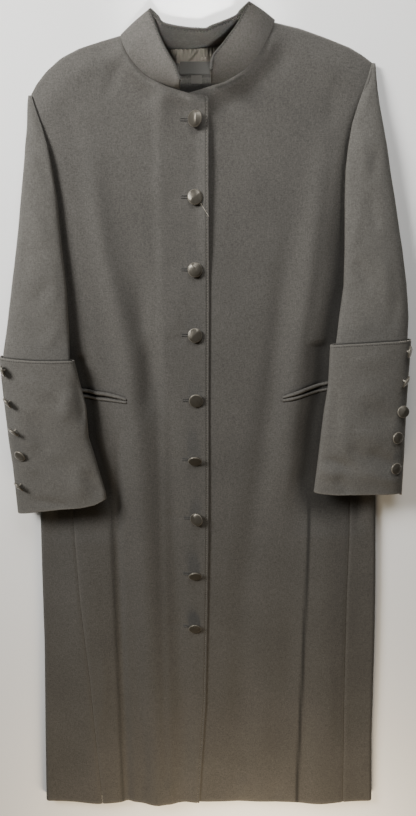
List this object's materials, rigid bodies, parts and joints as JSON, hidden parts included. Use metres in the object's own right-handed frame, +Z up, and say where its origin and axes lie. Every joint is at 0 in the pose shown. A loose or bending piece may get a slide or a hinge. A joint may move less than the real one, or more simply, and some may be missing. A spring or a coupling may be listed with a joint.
{
  "type": "clergy robe",
  "caption": "Full length clergy robe laid flat on its back, with a standing band collar, button front, welt pockets and long sleeves with deep buttoned cuffs.",
  "frame": {"origin": "middle of the robe in plan, on the surface that its back lies on", "axes": "+X to the wearer's left, +Y from hem to collar, +Z up, from the back panel to the front"},
  "size_m": [0.6176, 1.291, 0.07],
  "materials": {
    "crepe": "matte charcoal crepe",
    "lining_satin": "soft satin",
    "label_tape": "woven tape",
    "tab_tape": "woven tape",
    "button_satin": "satin over a mould"
  },
  "bodies": {
    "root": {"back_panel": "crepe", "right_front": "crepe", "left_front": "crepe", "right_side_panel": "crepe", "left_side_panel": "crepe", "right_sleeve": "crepe", "left_sleeve": "crepe", "right_cuff": "crepe", "left_cuff": "crepe", "collar": "crepe", "right_pocket_upper_welt": "crepe", "right_pocket_lower_welt": "crepe", "left_pocket_upper_welt": "crepe", "left_pocket_lower_welt": "crepe", "neck_lining": "lining_satin", "neck_label": "label_tape", "size_tab": "tab_tape", "front_button_1": "button_satin", "front_button_2": "button_satin", "front_button_3": "button_satin", "front_button_4": "button_satin", "front_button_5": "button_satin", "front_button_6": "button_satin", "front_button_7": "button_satin", "front_button_8": "button_satin", "front_button_9": "button_satin", "right_cuff_button_1": "button_satin", "right_cuff_button_2": "button_satin", "right_cuff_button_3": "button_satin", "right_cuff_button_4": "button_satin", "right_cuff_button_5": "button_satin", "left_cuff_button_1": "button_satin", "left_cuff_button_2": "button_satin", "left_cuff_button_3": "button_satin", "left_cuff_button_4": "button_satin", "left_cuff_button_5": "button_satin"}
  },
  "joints": []
}
